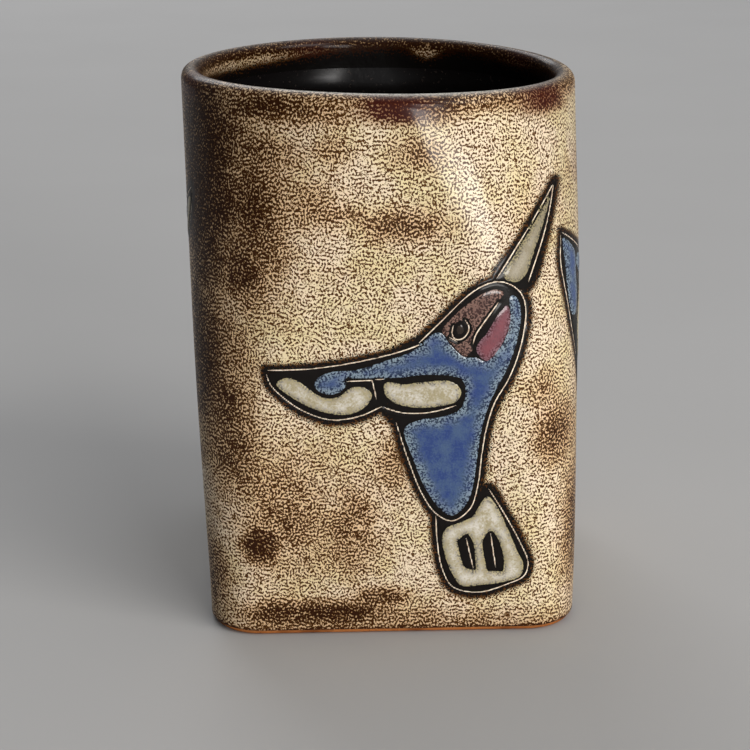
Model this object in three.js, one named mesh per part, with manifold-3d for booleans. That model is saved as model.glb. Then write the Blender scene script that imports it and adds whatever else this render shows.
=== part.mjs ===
// A hand-built stoneware vase: rounded-square at the foot, round at the rim, with an engraved bird
// on each side. Millimetres, +Z up. The origin is the middle of the face that it stands on, and the
// front face looks towards -Y.

import * as THREE from 'three';
import { mergeVertices } from 'three/addons/utils/BufferGeometryUtils.js';
import Module from 'manifold-3d';

const wasm = await Module();
wasm.setup();

const UP = new THREE.Vector3(0, 0, 1);

// ---------------------------------------------------------------- driving dimensions

const HEIGHT = 114;          // foot to lip
const RIM_RADIUS = 41.5;     // the mouth is round
const BASE_HALF = 39;        // half the width of the square foot
const BASE_CORNER = 11;      // corner radius of the square foot
const CORNER_EASE = 1.9;     // how slowly the corners open out towards the round mouth

const GLAZE = 0.5;           // thickness of a fired glaze layer
const CLAY = 2.9;            // thickness of the clay wall
const GAP = 0.2;             // play between two layers that lie on each other
const WALL = CLAY + 2 * (GLAZE + GAP);

const FLOOR = 5;             // thickness of the clay floor slab
const FOOT_LINE = 1;         // bare clay left below the outer glaze
const FOOT_BEVEL = 0.4;      // softened lower edge of the slab
const RIM_BAND = 5;          // depth of the iron-brown band below the lip

const SLIP = 0.2;            // thickness of the black slip under a bird
const POOL_PROUD = 0.15;     // how far a glaze pool stands out of the wall
const POOL = 0.3;            // thickness of a glaze pool
const OUTLINE = 0.9;         // width of black slip left on each side of an engraved line

// ---------------------------------------------------------------- mesh resolution

const LEVELS = 6;            // straight stretches up the wall
const LIP_STEPS = 4;         // facets round the lip's half circle
const CURVE_STEPS = 2;       // points per stretch of a bird's outline
const PRISM_NEAR = 15;       // a bird's cutting prism starts this far from the vase's axis
const PRISM_DEPTH = 45;      // and is this deep, so that it ends clear of the wall

// Where the rings have their points, as shares of one quarter turn that starts at a face's middle.
// They crowd together around the corner, which is in the middle of the quarter.
const HALF_QUARTER = [0, 0.14, 0.26, 0.35, 0.42, 0.465];
const QUARTER = [...HALF_QUARTER, 0.5, ...HALF_QUARTER.slice(1).reverse().map((share) => 1 - share)];

// ---------------------------------------------------------------- the vase's outline

// The point and outward direction at one share of a quarter turn, on the outline at height z.
// The quarter runs from the middle of the front face (-Y) to the middle of the right face (+X).
function quarterPoint(z, share) {
  const rise = THREE.MathUtils.clamp(z / HEIGHT, 0, 1);
  const half = BASE_HALF + (RIM_RADIUS - BASE_HALF) * rise;
  const corner = BASE_CORNER + (half - BASE_CORNER) * rise ** CORNER_EASE;
  const flat = half - corner;
  const arc = (Math.PI / 2) * corner;
  const along = share * (2 * flat + arc);
  if (along <= flat) {
    return { x: along, y: -half, nx: 0, ny: -1 };
  }
  if (along >= flat + arc) {
    return { x: half, y: along - flat - arc - flat, nx: 1, ny: 0 };
  }
  const turn = (along - flat) / corner;
  const nx = Math.sin(turn);
  const ny = -Math.cos(turn);
  return { x: flat + corner * nx, y: -flat + corner * ny, nx, ny };
}

// One closed ring of points at height z, set in from the outline by `inset`.
function trueRing(z, inset) {
  const points = [];
  for (let quarter = 0; quarter < 4; quarter += 1) {
    const turn = (quarter * Math.PI) / 2;
    for (const share of QUARTER) {
      const point = quarterPoint(z, share);
      const spot = new THREE.Vector3(point.x - inset * point.nx, point.y - inset * point.ny, z);
      points.push(spot.applyAxisAngle(UP, turn));
    }
  }
  return points;
}

// A ring between two levels lies on straight lines from one level to the next, so that the facets of
// every layer are parallel and two layers never cut into each other.
function ring(z, inset) {
  const step = HEIGHT / LEVELS;
  const level = Math.min(Math.floor(z / step), LEVELS - 1);
  const below = trueRing(level * step, inset);
  const above = trueRing((level + 1) * step, inset);
  const share = z / step - level;
  return below.map((point, i) => point.lerp(above[i], share));
}

// The heights from low to high that a wall needs: both ends, and the levels between them.
function heights(low, high) {
  const step = HEIGHT / LEVELS;
  const levels = Array.from({ length: LEVELS }, (_, level) => level * step);
  return [low, ...levels.filter((z) => z > low + GAP && z < high - GAP), high];
}

// ---------------------------------------------------------------- solids

// A closed geometry that follows a profile of { z, inset } points around the vase. The profile runs
// anticlockwise, seen with the axis on its left. A looped profile closes on itself. Any other one
// starts and ends with a flat disc across the axis. Each facet is split along the diagonal that leans
// the same way, whether the profile rises or falls there, so that facing layers stay parallel.
function sweep(profile, looped) {
  const rings = profile.map(({ z, inset }) => ring(z, inset));
  const count = rings[0].length;
  const positions = rings.flat().flatMap((point) => [point.x, point.y, point.z]);
  const index = [];
  const bands = looped ? rings.length : rings.length - 1;
  for (let band = 0; band < bands; band += 1) {
    const nextBand = (band + 1) % rings.length;
    const near = band * count;
    const far = nextBand * count;
    const falls = profile[nextBand].z < profile[band].z;
    for (let i = 0; i < count; i += 1) {
      const next = (i + 1) % count;
      if (falls) {
        index.push(near + i, near + next, far + i, near + next, far + next, far + i);
      } else {
        index.push(near + i, near + next, far + next, near + i, far + next, far + i);
      }
    }
  }
  if (!looped) {
    const last = (rings.length - 1) * count;
    const start = positions.length / 3;
    const end = start + 1;
    positions.push(0, 0, profile[0].z, 0, 0, profile[profile.length - 1].z);
    for (let i = 0; i < count; i += 1) {
      const next = (i + 1) % count;
      index.push(start, next, i);
      index.push(end, last + i, last + next);
    }
  }
  const geometry = new THREE.BufferGeometry();
  geometry.setAttribute('position', new THREE.Float32BufferAttribute(positions, 3));
  geometry.setIndex(index);
  return geometry;
}

// A layer of the wall between two heights and two insets.
function layer(low, high, outer, inner) {
  const rising = heights(low, high).map((z) => ({ z, inset: outer }));
  const falling = heights(low, high).reverse().map((z) => ({ z, inset: inner }));
  return sweep([...rising, ...falling], true);
}

// The half circle that rounds a lip over, from the outside of the wall to its inside.
function lipArc(radius) {
  const middle = WALL / 2;
  return Array.from({ length: LIP_STEPS + 1 }, (_, step) => {
    const angle = (Math.PI * step) / LIP_STEPS;
    return { z: HEIGHT - middle + radius * Math.sin(angle), inset: middle - radius * Math.cos(angle) };
  });
}

// ---------------------------------------------------------------- joining and cutting

function toSolid(geometry) {
  const bare = geometry.clone();
  bare.deleteAttribute('normal');
  bare.deleteAttribute('uv');
  const merged = mergeVertices(bare);
  const mesh = new wasm.Mesh({
    numProp: 3,
    vertProperties: new Float32Array(merged.attributes.position.array),
    triVerts: new Uint32Array(merged.index.array),
  });
  return new wasm.Manifold(mesh);
}

function toGeometry(solid) {
  const { vertProperties, triVerts } = solid.getMesh();
  const geometry = new THREE.BufferGeometry();
  geometry.setAttribute('position', new THREE.BufferAttribute(new Float32Array(vertProperties), 3));
  geometry.setIndex(new THREE.BufferAttribute(new Uint32Array(triVerts), 1));
  return geometry;
}

// ---------------------------------------------------------------- the bird's outlines

// Millimetres on the flat face, [right, up], from the bird's shoulder. Each is a closed smooth curve.
const BODY = [
  [21.3, 27], [26.2, 23.6], [27.3, 17.7], [25.8, 12], [20.7, 1.6], [18.9, -5], [17.5, -16.4],
  [15.6, -21.2], [12.2, -24], [8, -21.7], [4.3, -14.4], [0.8, -2], [-1.8, 1.2], [-6.6, -0.9],
  [-12.2, -1.6], [-18.2, 0.5], [-22.5, 4], [-25.2, 8.4], [-15.2, 9.5], [-7.5, 10.6], [0.4, 12.4],
  [5.2, 14.4], [11, 20.9], [15.8, 25.2],
];
const BEAK = [[21.4, 27.2], [26, 35.6], [33.8, 45], [30.4, 34.8], [28.2, 26.2], [24.9, 25.7]];
const TAIL = [
  [8.6, -23], [9.2, -30], [10.6, -36.2], [13.4, -39.6], [17.5, -40.4], [23.2, -38.7], [27.2, -36.4],
  [27.8, -32.9], [25.7, -27.8], [22.5, -21.3], [20, -17.3], [17.8, -18], [15.8, -22.4], [12.2, -25],
];
const WING_TIP = [
  [-22.6, 6], [-18, 2.2], [-12.2, 0.3], [-6.6, 1], [-4, 3.2], [-4.4, 5.6], [-9.6, 5.6],
  [-12.4, 3.8], [-15.4, 5.8],
];
const WING_ROOT = [
  [-1.6, 5.8], [-1.4, 3], [2.4, 1.5], [7.3, 1.3], [12.6, 2.2], [13.8, 4], [12.6, 6], [6, 6.3],
];
const CROWN = [
  [20.4, 25], [22.4, 23.6], [20.9, 21.2], [18.4, 17.9], [16.6, 14], [14.9, 12.6], [11.4, 16.2],
  [13.8, 22], [17, 24.4],
];
const CHEEK = [
  [23.4, 20.8], [23.8, 17.4], [21.8, 13.4], [19.2, 11.4], [17.7, 12.8], [19.4, 16.6], [22, 20.2],
];

// A broad wing reaches down past the body. It takes the place of the slender one on one bird.
const BROAD_WING = [
  [5.2, 14.4], [0.4, 12.4], [-7.5, 10.6], [-15.2, 9.5], [-25.2, 8.4], [-22.8, 2], [-17.2, -4.8],
  [-10.9, -11.3], [-4.7, -16.2], [1.6, -21], [6.4, -18], [9, -4],
];
const BROAD_TIP = [
  [-23, 7], [-20.5, 7.3], [-17.2, 6.2], [-14.8, 2.8], [-12, -1.8], [-11, -6], [-13, -7], [-17.3, -2.8],
  [-21, 2.4],
];
const BROAD_ROOT = [
  [-2, 5.6], [-5, 3.6], [-8.2, 1.6], [-8.2, -5], [-6.2, -10], [-2, -13.6], [0.6, -13.8], [0, -9],
  [-0.6, -3], [1.8, 1], [8, 1.6], [12.9, 2.6], [13.2, 4.8], [7, 6],
];
const TAIL_SLOTS = [
  [[13.4, -28.9], [15.2, -27.8], [16.7, -34.9], [14.9, -34.5]],
  [[18.9, -28.6], [21, -27.4], [22.5, -32.5], [22.3, -35.4], [19.8, -35.3]],
];
const EYE = { right: 14, up: 18, radius: 1.5, sides: 12 };

// A smooth closed curve through the points, as a list of Vector2.
function smoothCurve(points) {
  const knots = points.map(([right, up]) => new THREE.Vector3(right, up, 0));
  const curve = new THREE.CatmullRomCurve3(knots, true, 'centripetal');
  const samples = curve.getPoints(points.length * CURVE_STEPS).slice(0, -1);
  return samples.map(({ x, y }) => new THREE.Vector2(x, y));
}

function straightOutline(points) {
  return points.map(([right, up]) => new THREE.Vector2(right, up));
}

function circleOutline({ right, up, radius, sides }) {
  return Array.from({ length: sides }, (_, side) => {
    const angle = (2 * Math.PI * side) / sides;
    return new THREE.Vector2(right + radius * Math.cos(angle), up + radius * Math.sin(angle));
  });
}

// The same outline moved outwards by `distance` (inwards where it is negative).
function grow(outline, distance) {
  const outward = THREE.ShapeUtils.isClockWise(outline) ? -1 : 1;
  return outline.map((point, i) => {
    const before = outline[(i + outline.length - 1) % outline.length];
    const after = outline[(i + 1) % outline.length];
    const along = after.clone().sub(before).normalize();
    return new THREE.Vector2(
      point.x + outward * distance * along.y,
      point.y - outward * distance * along.x,
    );
  });
}

// ---------------------------------------------------------------- placing a bird on a face

// Which way each face looks, as a turn about +Z from the front, how its bird lies on it, and whether
// the bird has the broad wing.
const BIRDS = [
  { face: 'front', turn: 0, right: 0, up: 50, lean: 0, scale: 1, mirrored: false, broad: false },
  { face: 'right', turn: 90, right: -16, up: 66, lean: -35, scale: 0.85, mirrored: false, broad: true },
  { face: 'back', turn: 180, right: 2, up: 50, lean: 0, scale: 0.95, mirrored: true, broad: false },
  { face: 'left', turn: 270, right: 9, up: 77, lean: 35, scale: 0.7, mirrored: true, broad: false },
];

// A prism through the wall, with the outline as its section, on the bird's own face.
function prism(bird, outline) {
  const lean = THREE.MathUtils.degToRad(bird.lean);
  const placed = outline.map((point) => {
    const spot = point.clone();
    if (bird.mirrored) {
      spot.x = -spot.x;
    }
    spot.multiplyScalar(bird.scale).rotateAround(new THREE.Vector2(0, 0), lean);
    return spot.add(new THREE.Vector2(bird.right, bird.up));
  });
  const geometry = new THREE.ExtrudeGeometry(new THREE.Shape(placed), {
    depth: PRISM_DEPTH,
    bevelEnabled: false,
  });
  geometry.translate(0, 0, PRISM_NEAR);
  geometry.rotateX(Math.PI / 2);
  geometry.rotateZ(THREE.MathUtils.degToRad(bird.turn));
  return toSolid(geometry);
}

// ---------------------------------------------------------------- colours

const UNGLAZED = 0.85;       // roughness of bare clay
const MATT = 0.6;            // of the black slip
const SATIN = 0.3;           // of the outer glaze
const GLOSSY = 0.2;          // of the liner and the pools

const FINISHES = {
  clay: { color: 0xa5673c, roughness: UNGLAZED },
  black: { color: 0x17130f, roughness: GLOSSY },
  speckle: { color: 0xc7b285, roughness: SATIN },
  iron: { color: 0x5f3418, roughness: SATIN },
  slip: { color: 0x1c1512, roughness: MATT },
  blue: { color: 0x4257a4, roughness: GLOSSY },
  cream: { color: 0xd8ceab, roughness: GLOSSY },
  plum: { color: 0x5b3338, roughness: GLOSSY },
  red: { color: 0x8e3a41, roughness: GLOSSY },
  olive: { color: 0x3b332b, roughness: GLOSSY },
};

// ---------------------------------------------------------------- the vase's own pieces

const vase = new THREE.Group();

function addPiece(name, geometry, finish) {
  const material = new THREE.MeshStandardMaterial({ ...FINISHES[finish], metalness: 0 });
  const mesh = new THREE.Mesh(geometry, material);
  mesh.name = name;
  vase.add(mesh);
}

const clayOuter = GLAZE + GAP;
const clayInner = WALL - GLAZE - GAP;
const linerOuter = WALL - GLAZE;
const lipMiddle = HEIGHT - WALL / 2;
const bandLow = HEIGHT - RIM_BAND;

function clayWall() {
  const low = FLOOR + GAP;
  const outside = heights(low, lipMiddle).slice(0, -1).map((z) => ({ z, inset: clayOuter }));
  const inside = heights(low, lipMiddle).slice(0, -1).reverse().map((z) => ({ z, inset: clayInner }));
  return sweep([...outside, ...lipArc(CLAY / 2), ...inside], true);
}

function clayFloor() {
  return sweep(
    [
      { z: 0, inset: clayOuter + FOOT_BEVEL },
      { z: FOOT_BEVEL, inset: clayOuter },
      { z: FLOOR, inset: clayOuter },
    ],
    false,
  );
}

function linerGlaze() {
  const low = FLOOR + GAP;
  const outside = heights(low, bandLow).map((z) => ({ z, inset: linerOuter }));
  const inside = heights(low + GLAZE, bandLow).reverse().map((z) => ({ z, inset: WALL }));
  return sweep([...outside, ...inside], false);
}

function rimGlaze() {
  const low = bandLow + GAP;
  return sweep(
    [
      { z: low, inset: 0 },
      ...lipArc(WALL / 2),
      { z: low, inset: WALL },
      { z: low, inset: linerOuter },
      ...lipArc(WALL / 2 - GLAZE).reverse(),
      { z: low, inset: GLAZE },
    ],
    true,
  );
}

// ---------------------------------------------------------------- a bird's pieces

const slipLayer = toSolid(layer(FOOT_LINE, bandLow, GLAZE - SLIP, GLAZE));
const poolLayer = toSolid(layer(FOOT_LINE, bandLow, -POOL_PROUD, POOL - POOL_PROUD));

// Adds one bird and gives back the prism of the window that it needs in the outer glaze.
function addBird(bird) {
  const body = smoothCurve(BODY);
  const beak = smoothCurve(BEAK);
  const tail = smoothCurve(TAIL);
  const broadWing = smoothCurve(BROAD_WING);
  const wingTip = smoothCurve(bird.broad ? BROAD_TIP : WING_TIP);
  const wingRoot = smoothCurve(bird.broad ? BROAD_ROOT : WING_ROOT);
  const crown = smoothCurve(CROWN);
  const cheek = smoothCurve(CHEEK);
  const eye = circleOutline(EYE);
  const cut = (outline, distance) => prism(bird, grow(outline, distance));
  const silhouette = (distance) => {
    const slender = cut(body, distance).add(cut(beak, distance)).add(cut(tail, distance));
    return bird.broad ? slender.add(cut(broadWing, distance)) : slender;
  };

  const head = cut(crown, OUTLINE / 2).add(cut(cheek, OUTLINE / 2));
  const wing = cut(wingTip, OUTLINE / 2).add(cut(wingRoot, OUTLINE / 2));
  const slots = TAIL_SLOTS.map((slot) => prism(bird, straightOutline(slot)));
  const tailPool = cut(tail, -OUTLINE).subtract(cut(body, OUTLINE / 2));
  const pools = {
    body_glaze: [cut(body, -OUTLINE).subtract(head).subtract(wing), 'blue'],
    beak_glaze: [cut(beak, -OUTLINE).subtract(cut(body, OUTLINE / 2)), 'cream'],
    tail_glaze: [tailPool.subtract(slots[0]).subtract(slots[1]), 'cream'],
    wing_tip_glaze: [prism(bird, wingTip), bird.broad ? 'blue' : 'cream'],
    wing_root_glaze: [prism(bird, wingRoot), 'cream'],
    crown_glaze: [prism(bird, crown).subtract(cut(eye, OUTLINE / 2)), 'plum'],
    cheek_glaze: [prism(bird, cheek).subtract(cut(crown, OUTLINE / 2)), 'red'],
    eye_glaze: [prism(bird, eye), 'olive'],
  };

  addPiece(`${bird.face}_slip`, toGeometry(slipLayer.intersect(silhouette(OUTLINE))), 'slip');
  for (const [part, [solid, finish]] of Object.entries(pools)) {
    addPiece(`${bird.face}_${part}`, toGeometry(poolLayer.intersect(solid)), finish);
  }
  return silhouette(OUTLINE + GAP);
}

// ---------------------------------------------------------------- the assembly

addPiece('clay_wall', clayWall(), 'clay');
addPiece('clay_floor', clayFloor(), 'clay');
addPiece('liner_glaze', linerGlaze(), 'black');
addPiece('rim_glaze', rimGlaze(), 'iron');

const outerGlaze = BIRDS.map(addBird).reduce(
  (glaze, window) => glaze.subtract(window),
  toSolid(layer(FOOT_LINE, bandLow, 0, GLAZE)),
);
addPiece('speckle_glaze', toGeometry(outerGlaze), 'speckle');

export default vase;
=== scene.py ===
"""Looks of the engraved stoneware vase: its glaze skins, clay, and one engraved bird on each face.

Everything is worked out in millimetres in the vase's own frame (+Z up, the front face towards -Y)
and written to the meshes in metres.
"""

import math

import bpy
import numpy as np
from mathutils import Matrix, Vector
from mathutils.geometry import delaunay_2d_cdt


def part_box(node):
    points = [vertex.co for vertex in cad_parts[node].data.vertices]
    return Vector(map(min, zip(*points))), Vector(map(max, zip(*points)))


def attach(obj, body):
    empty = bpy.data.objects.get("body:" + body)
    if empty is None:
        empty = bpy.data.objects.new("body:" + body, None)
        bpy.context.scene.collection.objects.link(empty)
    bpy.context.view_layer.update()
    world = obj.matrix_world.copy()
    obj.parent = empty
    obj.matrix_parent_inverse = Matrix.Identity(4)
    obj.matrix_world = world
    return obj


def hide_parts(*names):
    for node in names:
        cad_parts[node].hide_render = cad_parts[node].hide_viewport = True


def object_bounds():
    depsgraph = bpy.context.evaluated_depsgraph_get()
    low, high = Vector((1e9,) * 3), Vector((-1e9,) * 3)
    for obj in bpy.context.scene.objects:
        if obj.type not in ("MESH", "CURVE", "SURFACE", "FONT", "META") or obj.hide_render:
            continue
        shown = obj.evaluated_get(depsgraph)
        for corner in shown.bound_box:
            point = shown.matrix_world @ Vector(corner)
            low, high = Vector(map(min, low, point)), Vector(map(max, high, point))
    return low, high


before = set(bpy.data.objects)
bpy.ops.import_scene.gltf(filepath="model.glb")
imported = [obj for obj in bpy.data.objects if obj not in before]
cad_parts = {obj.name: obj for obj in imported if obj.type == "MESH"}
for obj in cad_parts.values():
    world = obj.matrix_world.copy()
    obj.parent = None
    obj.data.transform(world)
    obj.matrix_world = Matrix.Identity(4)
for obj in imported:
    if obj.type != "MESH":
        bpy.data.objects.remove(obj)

cad_low, cad_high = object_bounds()
MM = 0.001
TAU = 2 * math.pi


# ------------ sizes, in millimetres

def top_corner(name):
    """The highest corner of a node's box in the CAD: its right, its back and its top."""
    return np.array(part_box(name)[1]) / MM


HEIGHT = cad_high.z / MM
RIM_RADIUS = top_corner("rim_glaze")[0]
FLOOR = top_corner("clay_floor")[2]
FOOT_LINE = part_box("speckle_glaze")[0][2] / MM
GLAZE = 0.5
GAP = 0.2  # play between the layers
WALL = 4.3
LIP_RADIUS = WALL / 2
BASE_HALF = 39.0  # half the width of the square foot
BASE_CORNER = 11.0  # radius of its corners
CORNER_EASE = 1.9  # how late the corners open out to the round mouth: 1 is evenly
RIM_LEAN = -2.0  # the mouth sits this far to the left of the foot

RIM_BAND = 5.0  # depth of the rim piece on the outside
RIM_INSIDE = 7.0  # and on the inside, down to the black liner
SKIN_THICK = GLAZE - 0.05
BARE_EDGE = 0.6  # how far the bare clay of the foot lies in from the glaze
FOOT_ROUND = [(0.0, 2.2), (0.0, 1.3), (0.08, 0.95), (0.28, 0.72), (0.6, BARE_EDGE)]  # (z, inset)
LINER_LAP = 0.3  # the liner reaches this far up behind the rim piece
LINER_BEND = 3.5  # radius of its bottom corner

COLUMNS = 400  # points round the vase
GRID = 0.7  # mesh size of the big skins
CLAY_GRID = 4.0  # of the hidden clay
LINER_GRID = 1.0  # of the liner
FINE = 0.32  # of the slip under a bird
POOL_GRID = 0.5  # of the glaze pools
SHARP_FROM = 60  # edges that bend more than this many degrees stay sharp


# ------------ the vase's form

def section(z):
    """The vase's plan at a height: half its width, its corners' radius, half the flat part of a side."""
    rise = np.clip(z / HEIGHT, 0, 1)
    half = BASE_HALF + (RIM_RADIUS - BASE_HALF) * rise
    corner = BASE_CORNER + (half - BASE_CORNER) * rise ** CORNER_EASE
    return half, corner, half - corner


def outline(share, z):
    """Point and outward direction on the vase's plain outline. share runs once round from the middle
    of the front face, towards the right face."""
    half, corner, flat = section(z)
    arc = corner * math.pi / 2
    quarters = (share * 4) % 4
    quarter = np.floor(quarters)
    along = (quarters - quarter) * (2 * flat + arc)
    turn = np.clip((along - flat) / corner, 0, math.pi / 2)
    x = np.minimum(along, flat) + corner * np.sin(turn)
    y = -flat - corner * np.cos(turn) + np.maximum(along - flat - arc, 0)
    spin = quarter * math.pi / 2
    cos, sin = np.cos(spin), np.sin(spin)
    out_x, out_y = np.sin(turn), -np.cos(turn)
    point = np.stack([x * cos - y * sin, x * sin + y * cos], -1)
    out = np.stack([out_x * cos - out_y * sin, out_x * sin + out_y * cos], -1)
    return point, out


# Slow waves of the hand-formed wall: [height, waves round the vase, radians per millimetre up, start].
WALL_WAVES = [[0.16, 2, 0.035, 0.7], [0.10, 3, -0.06, 2.0], [0.07, 5, 0.11, 0.0]]
RIDGES = 0.12  # height of the soft ridges that wind round the wall
EVEN_FOOT = 12  # below this height the waves die away towards the foot
LIP_WAVE = 0.35  # how far the lip rises and falls round the mouth


def skin(share, z, inset):
    """Points of the hand-formed wall: the plain outline, set in, then leaned and made a little uneven."""
    share, z, inset = np.broadcast_arrays(np.asarray(share, float), np.asarray(z, float), inset)
    point, out = outline(share, z)
    rise = np.clip(z / HEIGHT, 0, 1)
    angle = share * TAU
    wobble = RIDGES * np.sin(z * 0.085 + 1.5 * np.sin(angle + 0.4))
    for height, waves, climb, start in WALL_WAVES:
        wobble = wobble + height * np.sin(waves * angle + climb * z + start)
    wobble = wobble * np.clip(z / EVEN_FOOT, 0, 1)
    point = point + out * (wobble - inset)[..., None]
    x = point[..., 0] + RIM_LEAN * rise
    lift = LIP_WAVE * (np.cos(2 * (angle - 2.97)) - np.sin(angle))
    return np.stack([x, point[..., 1], z + lift * rise ** 4], -1)


THICKENING = 0.6  # the wall grows this much thicker below the lip,
THICK_WITHIN = 5  # most of it within this height
RIDGE_HEIGHT = 0.7  # a soft ridge inside,
RIDGE_BELOW = 9  # this far below the lip,
RIDGE_WIDE = 3.2  # and this wide


def inner_inset(z):
    """How far the inside of the wall lies in from the outside at a height."""
    below = HEIGHT - LIP_RADIUS - np.asarray(z, float)
    ridge = RIDGE_HEIGHT * np.exp(-((below - RIDGE_BELOW) / RIDGE_WIDE) ** 2)
    return WALL + THICKENING * (1 - np.exp(-np.clip(below, 0, None) / THICK_WITHIN)) + ridge


def share_on_face(side, right, up):
    """Where a spot of a side's flat drawing lies round the vase (0 front, 1 right, 2 back, 3 left)."""
    half, corner, flat = section(up)
    reach = np.minimum(np.abs(right), half)
    bend = np.arcsin(np.clip((reach - flat) / corner, 0, 1))
    along = np.minimum(reach, flat) + corner * bend
    quarter = 2 * flat + corner * math.pi / 2
    return (side + np.sign(right) * along / quarter) / 4


# ------------ meshes

vase = bpy.data.collections.new("vase")  # what the small light for the sheen shines on


def add_mesh(name, points, faces, material, nodes, marks=None, normals=None):
    """A piece of the vase from points in millimetres. marks are numbers for the material to read."""
    mesh = bpy.data.meshes.new(name)
    mesh.from_pydata((np.asarray(points) * MM).tolist(), [], faces)
    mesh.validate()
    mesh.shade_smooth()
    if normals is None:
        mesh.set_sharp_from_angle(angle=math.radians(SHARP_FROM))
    else:
        mesh.normals_split_custom_set_from_vertices(normals.tolist())
    for mark, values in (marks or {}).items():
        layer = mesh.attributes.new(mark, "FLOAT", "POINT")
        layer.data.foreach_set("value", np.asarray(values, np.float32))
    mesh.materials.append(material)
    piece = bpy.data.objects.new(name, mesh)
    bpy.context.scene.collection.objects.link(piece)
    vase.objects.link(piece)
    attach(piece, "root")
    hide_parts(*nodes)


def ring_faces(rings, looped):
    """Quads between rings of points. When looped, the last ring joins the first."""
    faces = []
    bands = rings if looped else rings - 1
    for band in range(bands):
        near = band * COLUMNS
        far = (band + 1) % rings * COLUMNS
        for i in range(COLUMNS):
            j = (i + 1) % COLUMNS
            faces.append((near + i, near + j, far + j, far + i))
    return faces


def add_sweep(name, profile, material, looped=True):
    """A piece that follows the wall all round, from a profile of (z, inset) that starts at the bottom of
    the outside. Where the profile isn't a loop, discs close its ends."""
    share = np.arange(COLUMNS) / COLUMNS
    points = np.concatenate([skin(share, z, inset) for z, inset in profile])
    faces = ring_faces(len(profile), looped)
    if not looped:
        first = list(range(COLUMNS))
        last = [i + (len(profile) - 1) * COLUMNS for i in first]
        faces += [tuple(reversed(first)), tuple(last)]
    add_mesh(name, points, faces, material, [name])


def steps(low, high, size):
    """Evenly spaced heights from low to high, about size apart."""
    count = max(1, round(abs(high - low) / size))
    return list(np.linspace(low, high, count + 1))


# ------------ drawing in the plane of a face

def blend(p, q, low, high, t):
    """The point at t on the straight way from p, at low, to q, at high."""
    return (p * (high - t) + q * (t - low)) / (high - low)


def spline_run(chain, step):
    """Points of the centripetal Catmull-Rom curve through a chain, whose two end points only steer it."""
    curve = []
    for a, b, c, d in zip(chain, chain[1:], chain[2:], chain[3:]):
        gaps = [max(np.linalg.norm(q - p) ** 0.5, 1e-6) for p, q in ((a, b), (b, c), (c, d))]
        knot = np.cumsum([0] + gaps)
        count = max(2, math.ceil(np.linalg.norm(c - b) / step))
        for t in np.linspace(knot[1], knot[2], count, endpoint=False):
            ab = blend(a, b, knot[0], knot[1], t)
            bc = blend(b, c, knot[1], knot[2], t)
            cd = blend(c, d, knot[2], knot[3], t)
            abc = blend(ab, bc, knot[0], knot[2], t)
            bcd = blend(bc, cd, knot[1], knot[3], t)
            curve.append(blend(abc, bcd, knot[1], knot[2], t))
    return curve


def smooth(points, closed=True, step=0.5):
    """A curve through the points, as an array of [right, up]. A point given twice is a corner."""
    knots = np.array(points, float)
    corners = [i for i in range(len(knots)) if np.allclose(knots[i], knots[(i + 1) % len(knots)])]
    if closed and not corners:
        return np.array(spline_run(np.concatenate([knots[-1:], knots, knots[:2]]), step))
    if closed:
        knots = np.roll(knots, -(corners[0] + 1), axis=0)
    cuts = [i + 1 for i in range(len(knots) - 1) if np.allclose(knots[i], knots[i + 1])]
    curve = []
    for part in np.split(knots, cuts):
        before = 2 * part[0] - part[1]
        after = 2 * part[-1] - part[-2]
        curve += spline_run(np.concatenate([before[None], part, after[None]]), step)
        curve.append(part[-1])
    return np.array(curve)


def distance(spots, line, closed):
    """Distance of each spot to a line of points."""
    nearest = np.full(len(spots), np.inf)
    ends = np.roll(line, -1, axis=0) if closed else line[1:]
    for start, end in zip(line, ends):
        along = end - start
        length = along @ along
        if length < 1e-12:
            continue
        share = np.clip((spots - start) @ along / length, 0, 1)
        gap = spots - start - share[:, None] * along
        nearest = np.minimum(nearest, np.einsum("ij,ij->i", gap, gap))
    return np.sqrt(nearest)


def inside(spots, line):
    """Which spots lie inside a closed line."""
    odd = np.zeros(len(spots), bool)
    for (x1, y1), (x2, y2) in zip(line, np.roll(line, -1, axis=0)):
        crosses = (y1 > spots[:, 1]) != (y2 > spots[:, 1])
        if y1 != y2:
            meet = x1 + (spots[:, 1] - y1) * (x2 - x1) / (y2 - y1)
            odd ^= crosses & (spots[:, 0] < meet)
    return odd


def depth_in(spots, line):
    """How deep each spot lies inside a closed line; negative outside it."""
    far = distance(spots, line, True)
    return np.where(inside(spots, line), far, -far)


def grown(line, by):
    """A closed line, moved outwards."""
    along = np.roll(line, -1, axis=0) - np.roll(line, 1, axis=0)
    out = np.stack([along[:, 1], -along[:, 0]], -1)
    out /= np.linalg.norm(out, axis=1, keepdims=True)
    following = np.roll(line, -1, axis=0)
    turns_left = np.sum(line[:, 0] * following[:, 1] - line[:, 1] * following[:, 0]) > 0
    return line + out * (by if turns_left else -by)


# ------------ the bird

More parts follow.
